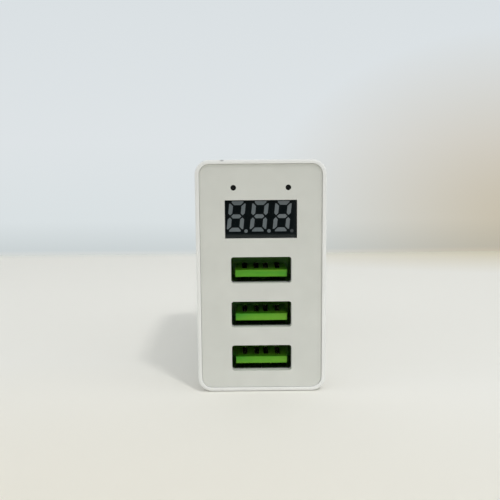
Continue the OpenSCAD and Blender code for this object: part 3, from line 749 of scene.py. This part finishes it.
# %% Sleeve, and the second pin
sleeve = add_rod("live_sleeve_tube", 0, PIN_Z, SLEEVE_R, SLEEVE_Y, BARE_Y)
bore = add_rod("sleeve_bore", 0, PIN_Z, NECK_R, SLEEVE_Y - CUT_PAST, BARE_Y + CUT_PAST)
apply_boolean(sleeve, bore, "DIFFERENCE")
soften(sleeve, PIN_EDGE_R, segments=2)
describe(sleeve)

down = Vector((0, 0, -PIN_PITCH))
stand_for(pin, "live_pin")
stand_for(sleeve, "live_pin_sleeve")
stand_for(copy_at(pin, "neutral_pin_turned", down), "neutral_pin")
stand_for(copy_at(sleeve, "neutral_sleeve_tube", down), "neutral_pin_sleeve")

# %% [markdown]
# ## Finishes
#
# Every part of the charger is moulded plastic, plated metal, coated board or wound wire.
# Real ones are never one flat colour: a mould leaves a fine spark-eroded grain, plating
# has faint streaks along the way it was drawn, and a board's mask pools round its
# tracks. A picture of each surface could be wrapped on it, but noise in the solid's own
# coordinates needs no unwrapping, has no seams, and holds at any distance. Each finish
# is given the grain size that the real one has.

# %% Noise, and what it moves
def object_noise(material, size, detail=3.0, stretch=(1, 1, 1)):
    """Noise in the solid's own coordinates, with features of about the size in metres."""
    mapping = add_node(material, "ShaderNodeMapping", Scale=tuple(s / size for s in stretch))
    noise = add_node(material, "ShaderNodeTexNoise", Scale=1.0, Detail=detail, Roughness=0.55)
    join(material, object_place(material), mapping.inputs["Vector"])
    join(material, mapping.outputs["Vector"], noise.inputs["Vector"])
    return noise


def tint_between(material, noise, low, high, spread=(0.35, 0.65)):
    """Lets the noise move the base colour between two tones."""
    ramp = add_ramp(material, [(spread[0], low), (spread[1], high)])
    join(material, noise.outputs["Fac"], ramp.inputs[0])
    join(material, ramp.outputs[0], shader_of(material).inputs["Base Color"])


def gloss_between(material, noise, low, high, spread=(0.3, 0.7)):
    """Lets the noise move the roughness between two values."""
    span = add_node(material, "ShaderNodeMapRange", From_Min=spread[0], From_Max=spread[1],
                    To_Min=low, To_Max=high)
    join(material, noise.outputs["Fac"], span.inputs["Value"])
    join(material, span.outputs[0], shader_of(material).inputs["Roughness"])


def raise_by(material, noise, depth, strength=1.0):
    """Turns the noise into relief of the given depth in metres."""
    bump = add_node(material, "ShaderNodeBump", Strength=strength, Distance=depth)
    join(material, noise.outputs["Fac"], bump.inputs["Height"])
    join(material, bump.outputs[0], shader_of(material).inputs["Normal"])


print("noise helpers ready")

# %% Two kinds of finish
def moulded(name, low, high, roughness, grain=0.12 * MM, depth=0.004 * MM, cloud=9 * MM,
            specular=0.5, flow=(1, 1, 1)):
    """Moulded plastic: faint clouds in the colour and a fine spark-eroded grain.

    A flow below 1 along an axis draws the clouds out into streaks along it.
    """
    material = new_material(name, high, sum(roughness) / 2, specular=specular)
    clouds = object_noise(material, cloud, detail=2.0, stretch=flow)
    tint_between(material, clouds, low, high)
    gloss_between(material, clouds, *roughness)
    raise_by(material, object_noise(material, grain), depth)
    return material


def plated(name, low, high, roughness, streak=0.5 * MM, depth=0.002 * MM, flow=(1, 0.08, 1)):
    """Plated metal: streaks that run along Y unless the flow says otherwise."""
    material = new_material(name, high, sum(roughness) / 2, metallic=1.0)
    streaks = object_noise(material, streak, detail=4.0, stretch=flow)
    tint_between(material, streaks, low, high)
    gloss_between(material, streaks, *roughness)
    raise_by(material, streaks, depth)
    return material


print("kinds of finish: moulded plastic and plated metal")

# %% Plastics
# Each line gives the darkest and the palest tone, the range of the roughness, and what
# differs from the usual grain.
PLASTICS = {
    "white_plastic": ((0.83, 0.835, 0.82), (0.86, 0.865, 0.85), (0.34, 0.42), {}),
    "panel_plastic": ((0.66, 0.67, 0.63), (0.69, 0.70, 0.66), (0.5, 0.6),
                      {"grain": 0.16 * MM, "depth": 0.008 * MM, "cloud": 6 * MM}),
    "inner_plastic": ((0.74, 0.74, 0.72), (0.78, 0.78, 0.76), (0.45, 0.55), {}),
    "sleeve_plastic": ((0.018, 0.018, 0.020), (0.028, 0.028, 0.030), (0.38, 0.5), {}),
    "brown_lead": ((0.13, 0.05, 0.02), (0.17, 0.07, 0.03), (0.4, 0.5), {}),
    "blue_lead": ((0.02, 0.07, 0.38), (0.03, 0.10, 0.46), (0.4, 0.5), {}),
    "display_black": ((0.0008, 0.0028, 0.0034), (0.0012, 0.004, 0.005), (0.12, 0.18),
                      {"depth": 0.0005 * MM, "specular": 0.05}),
    "segment_grey": ((0.118, 0.142, 0.155), (0.150, 0.170, 0.182), (0.3, 0.4),
                     {"depth": 0.001 * MM, "specular": 0.2}),
    "indicator_lens": ((0.007, 0.0075, 0.007), (0.012, 0.0125, 0.012), (0.12, 0.2),
                       {"depth": 0.0005 * MM, "specular": 0.15}),
    # The green plastic's clouds are drawn out along X into paler streaks: painted sheen streaks in
    # the colour, while the roughness they move is real.
    "green_plastic": ((0.065, 0.365, 0.014), (0.165, 0.44, 0.022), (0.26, 0.4),
                      {"cloud": 1.6 * MM, "specular": 0.3, "flow": (0.12, 1, 1)}),
    "chip_black": ((0.010, 0.010, 0.011), (0.020, 0.020, 0.021), (0.5, 0.65), {}),
    "capacitor_sleeve": ((0.010, 0.011, 0.020), (0.018, 0.020, 0.034), (0.18, 0.28),
                         {"depth": 0.001 * MM}),
    "capacitor_blue": ((0.02, 0.09, 0.40), (0.03, 0.13, 0.50), (0.25, 0.4), {}),
    "resistor_coat": ((0.50, 0.42, 0.24), (0.58, 0.50, 0.30), (0.5, 0.6), {}),
    "tape_yellow": ((0.70, 0.50, 0.03), (0.82, 0.60, 0.05), (0.2, 0.3), {}),
    "ferrite": ((0.030, 0.030, 0.032), (0.055, 0.055, 0.058), (0.5, 0.7),
                {"grain": 0.2 * MM, "depth": 0.015 * MM}),
    "green_board": ((0.010, 0.10, 0.035), (0.020, 0.15, 0.055), (0.2, 0.35),
                    {"cloud": 2 * MM}),
    "tan_board": ((0.48, 0.36, 0.15), (0.58, 0.45, 0.20), (0.5, 0.65), {"cloud": 3 * MM}),
}

finishes = {}
for name, (low, high, roughness, more) in PLASTICS.items():
    finishes[name] = moulded(name, low, high, roughness, **more)
print("plastics:", len(finishes))

# %% Metals
METALS = {
    "pin_metal": ((0.70, 0.70, 0.69), (0.76, 0.755, 0.74), (0.20, 0.26),
                  {"streak": 0.25 * MM, "depth": 0.0003 * MM}),
    "shell_steel": ((0.18, 0.185, 0.185), (0.25, 0.25, 0.245), (0.16, 0.26), {}),
    "contact_metal": ((0.50, 0.46, 0.38), (0.60, 0.55, 0.45), (0.2, 0.3), {}),
    "lead_metal": ((0.62, 0.62, 0.60), (0.72, 0.72, 0.70), (0.3, 0.45),
                   {"flow": (0.1, 1, 1)}),
    "copper_wire": ((0.60, 0.24, 0.10), (0.75, 0.34, 0.16), (0.25, 0.35),
                    {"flow": (1, 1, 0.1)}),
}

for name, (low, high, roughness, more) in METALS.items():
    finishes[name] = plated(name, low, high, roughness, **more)
print("finishes:", len(finishes))

# %% [markdown]
# ## Details in three finishes
#
# Three small things in the picture belong to one place and not to a whole finish: the
# display's face is a little paler along its lower edge and at its right end, its last
# point is dimmer than the others, which is painted shade, and the rim has a small dark
# nick, the only mark of use. Each could be a mesh of its own, but none has a form that
# can be seen. The place on the piece decides where the tone changes.

# %% Pale edge of the display
EDGE_TONE = (0.030, 0.036, 0.035)
EDGE_FROM_Z, EDGE_TO_Z = 33.65 * MM, 33.0 * MM
END_FROM_X, END_TO_X, END_SHARE = 6.2 * MM, 7.3 * MM, 0.25


def retint(material, share, tone, blend_type="MIX"):
    """Mixes a tone into the material's colour by a share that a socket gives."""
    colour_in = shader_of(material).inputs["Base Color"]
    mix = add_node(material, "ShaderNodeMixRGB", Color2=(*tone, 1))
    mix.blend_type = blend_type
    join(material, share, mix.inputs["Fac"])
    join(material, colour_in.links[0].from_socket, mix.inputs["Color1"])
    join(material, mix.outputs[0], colour_in)


display = finishes["display_black"]
axes = add_node(display, "ShaderNodeSeparateXYZ")
low_edge = add_node(display, "ShaderNodeMapRange", From_Min=EDGE_FROM_Z, From_Max=EDGE_TO_Z)
right_end = add_node(display, "ShaderNodeMapRange", From_Min=END_FROM_X, From_Max=END_TO_X,
                     To_Max=END_SHARE)
join(display, object_place(display), axes.inputs[0])
join(display, axes.outputs["Z"], low_edge.inputs["Value"])
join(display, axes.outputs["X"], right_end.inputs["Value"])
stronger = add_math(display, "MAXIMUM", low_edge.outputs[0], right_end.outputs[0])
retint(display, stronger, EDGE_TONE)
print("display edge from z =", EDGE_FROM_Z, "down")

# %% Painted shade on the last point
LAST_POINT, POINT_REACH = (6.4 * MM, -40.65 * MM, 34.15 * MM), 0.5 * MM
POINT_PAINTED_SHADE = (0.35, 0.35, 0.35)

segments = finishes["segment_grey"]
distance = add_node(segments, "ShaderNodeVectorMath")
distance.operation = "DISTANCE"
distance.inputs[1].default_value = LAST_POINT
join(segments, object_place(segments), distance.inputs[0])
painted_shade_at_point = add_math(segments, "LESS_THAN", distance.outputs["Value"], POINT_REACH)
# painted shade: the colour is darkened near the last point
retint(segments, painted_shade_at_point, POINT_PAINTED_SHADE, "MULTIPLY")
print("last point at", [round(v / MM, 2) for v in LAST_POINT], "mm")

# %% Wear on the rim
NICK_AT, NICK_REACH = (-7.9 * MM, -41.3 * MM, 48.7 * MM), (0.55 * MM, 0.6 * MM, 0.35 * MM)
NICK_TONE = (0.35, 0.35, 0.36)

white = finishes["white_plastic"]
white_colour = shader_of(white).inputs["Base Color"]
nicked = add_patch(white, white_colour.links[0].from_socket, NICK_AT, NICK_REACH, NICK_TONE)
join(white, nicked, white_colour)
print("nick at", [round(v / MM, 2) for v in NICK_AT], "mm")

# %% Give each node its finish
def dress(piece, slot_name):
    """Puts one finish on a whole piece."""
    piece.data.materials.clear()
    piece.data.materials.append(finishes[slot_name])


for node_name, slot_name in slot_of.items():
    dress(frame["nodes"][node_name], slot_name)
for piece, slot_name in dressed_by_hand.items():
    dress(piece, slot_name)
print("dressed:", len(slot_of), "nodes and", len(dressed_by_hand), "pieces made by hand")
